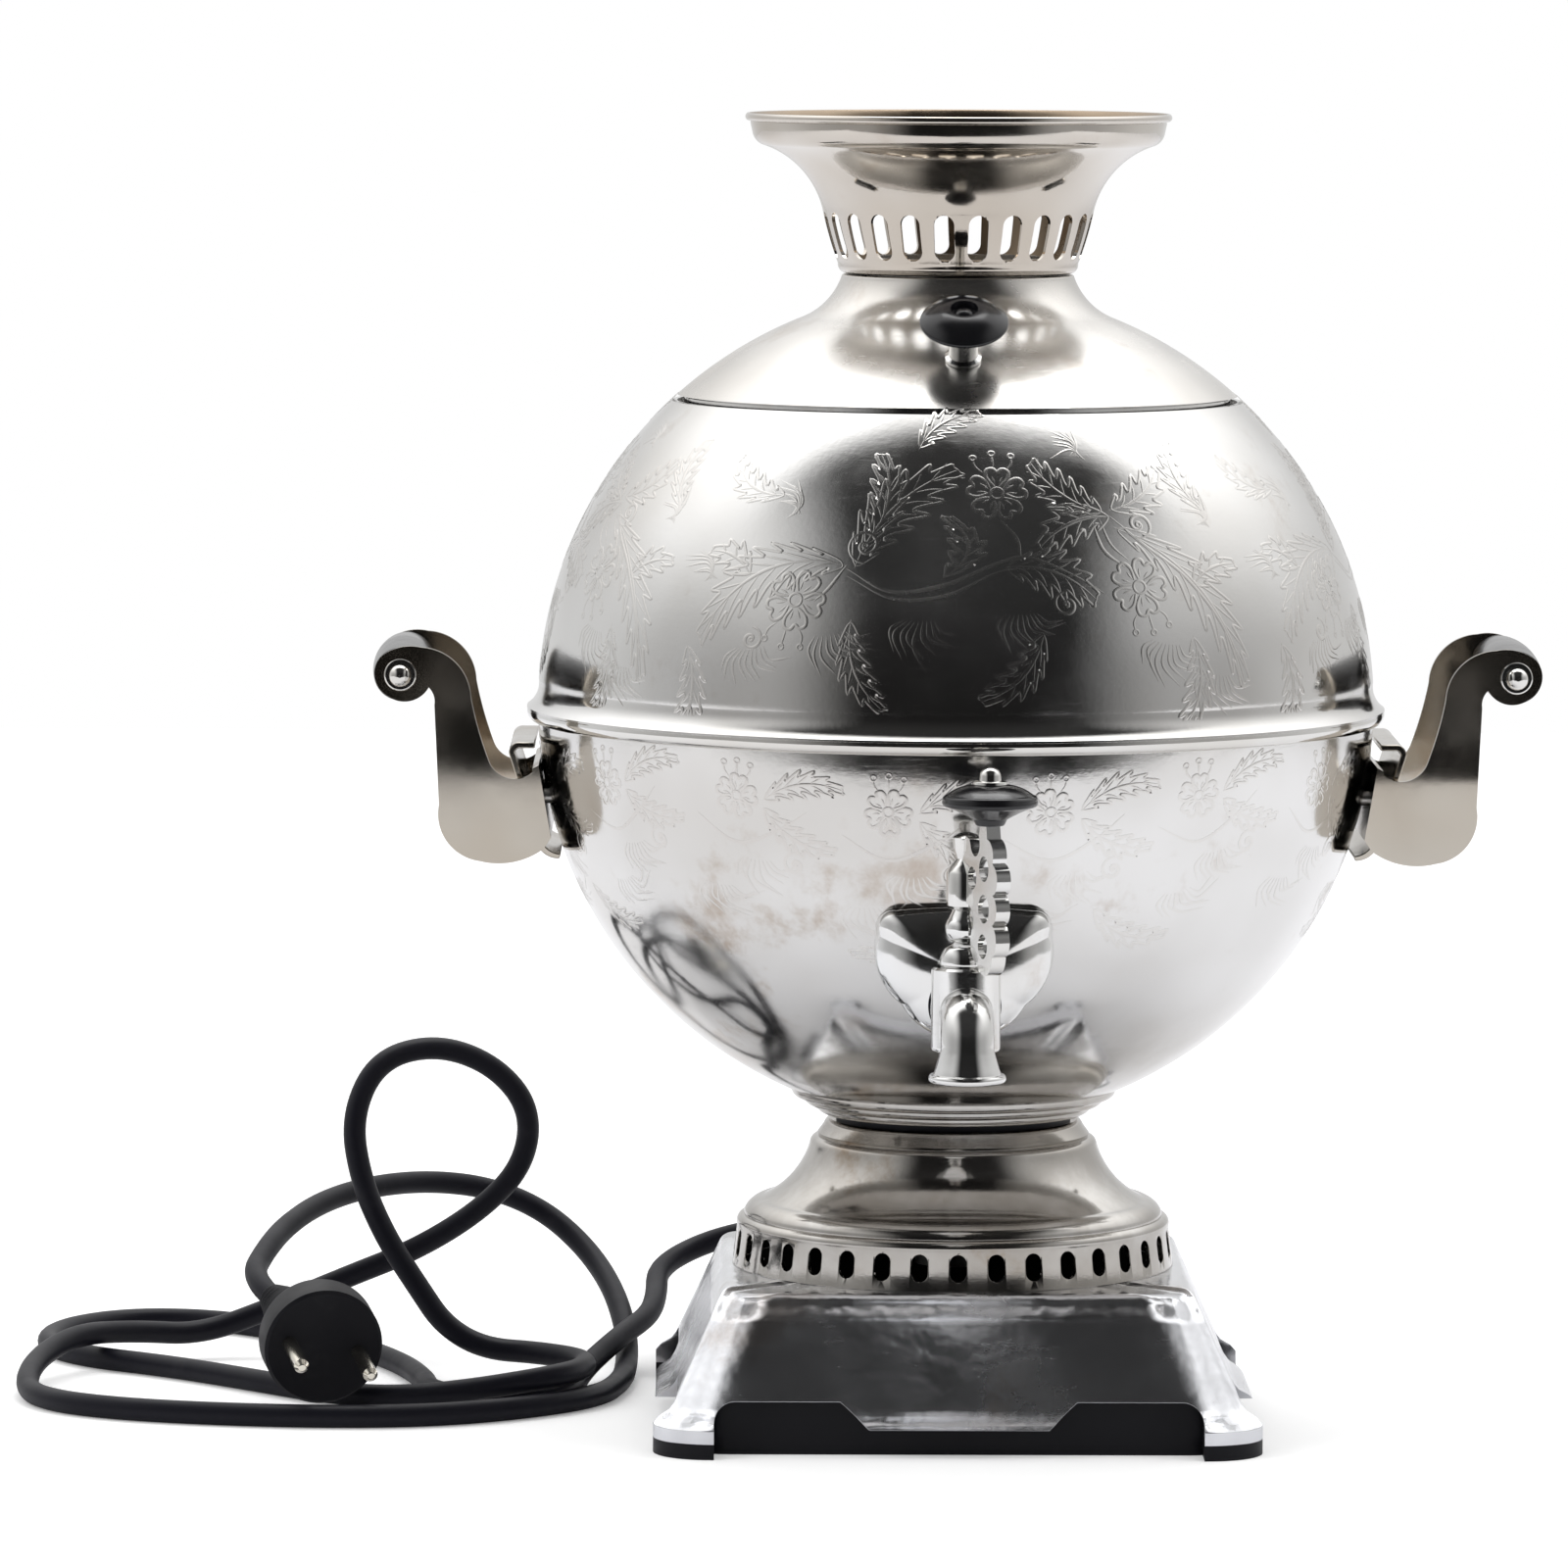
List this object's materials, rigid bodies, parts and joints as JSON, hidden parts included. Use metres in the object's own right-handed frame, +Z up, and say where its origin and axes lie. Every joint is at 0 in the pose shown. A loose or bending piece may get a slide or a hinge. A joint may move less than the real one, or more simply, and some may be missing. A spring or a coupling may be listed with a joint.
{
  "type": "electric_samovar",
  "caption": "Electric ball samovar: engraved plated globe with a lift-off lid and slotted crown, side handles, spout tap with a turning key, square cast base, mains lead.",
  "frame": {"origin": "On the axis of the round body, in the plane of the base pan's rim that the samovar stands on.", "axes": "+Z up; -Y is the front, where the tap is; +X is the right-hand handle seen from the front."},
  "size_m": [0.4092, 0.2978, 0.3492],
  "materials": {
    "nickel": "worn satin nickel plate, engraved",
    "crown_nickel": "satin",
    "chrome": "polished",
    "tap_chrome": "polished",
    "cast_metal": "polished casting, worn",
    "steel": "satin",
    "heater_tube": "scaled",
    "black_moulding": "gloss",
    "base_moulding": "satin",
    "black_rubber": "satin",
    "brass_pins": "satin"
  },
  "bodies": {
    "urn": {"upper_shell": "nickel", "lower_shell": "nickel", "belt_ring": "nickel", "mouth_ring": "nickel", "neck_gasket": "black_rubber", "pedestal_bell": "nickel", "vent_ring": "nickel", "base_casting": "cast_metal", "base_pan": "base_moulding", "pan_screws": "steel", "tie_tube": "steel", "clamp_nut": "steel", "element_flange": "steel", "heating_element": "heater_tube", "terminal_block": "base_moulding", "handle_frame_right": "chrome", "handle_frame_left": "chrome", "grip_right": "black_moulding", "grip_left": "black_moulding", "handle_bracket_right": "chrome", "handle_bracket_left": "chrome", "grip_washers": "chrome", "grip_cap_nuts": "chrome", "grip_bolts": "steel", "handle_screws": "steel", "handle_nuts": "steel", "tap_boss": "chrome", "tap_washer": "black_rubber", "tap_body": "tap_chrome", "escutcheon": "tap_chrome", "cord_gland": "black_rubber", "cord": "black_rubber", "plug_body": "black_rubber", "plug_pins": "brass_pins", "plug_boot": "black_rubber"},
    "lid": {"lid_dome": "nickel", "lid_skirt": "nickel", "lid_knobs": "black_moulding", "knob_ferrules": "chrome", "knob_screws": "chrome"},
    "crown": {"crown": "crown_nickel"},
    "tap_key": {"tap_key": "tap_chrome", "tap_knob": "black_moulding", "tap_knob_nut": "chrome", "tap_retainer": "steel"}
  },
  "joints": [
    {"name": "lid_lift", "type": "slide", "parent": "urn", "child": "lid", "axis": [0, 0, 1], "range_m": [0, 0.15]},
    {"name": "crown_lift", "type": "slide", "parent": "lid", "child": "crown", "axis": [0, 0, 1], "range_m": [0, 0.08]},
    {"name": "tap_turn", "type": "hinge", "parent": "urn", "child": "tap_key", "pos_m": [0, -0.118, 0.1225], "axis": [0, 0, -1], "range_deg": [0, 90]}
  ]
}
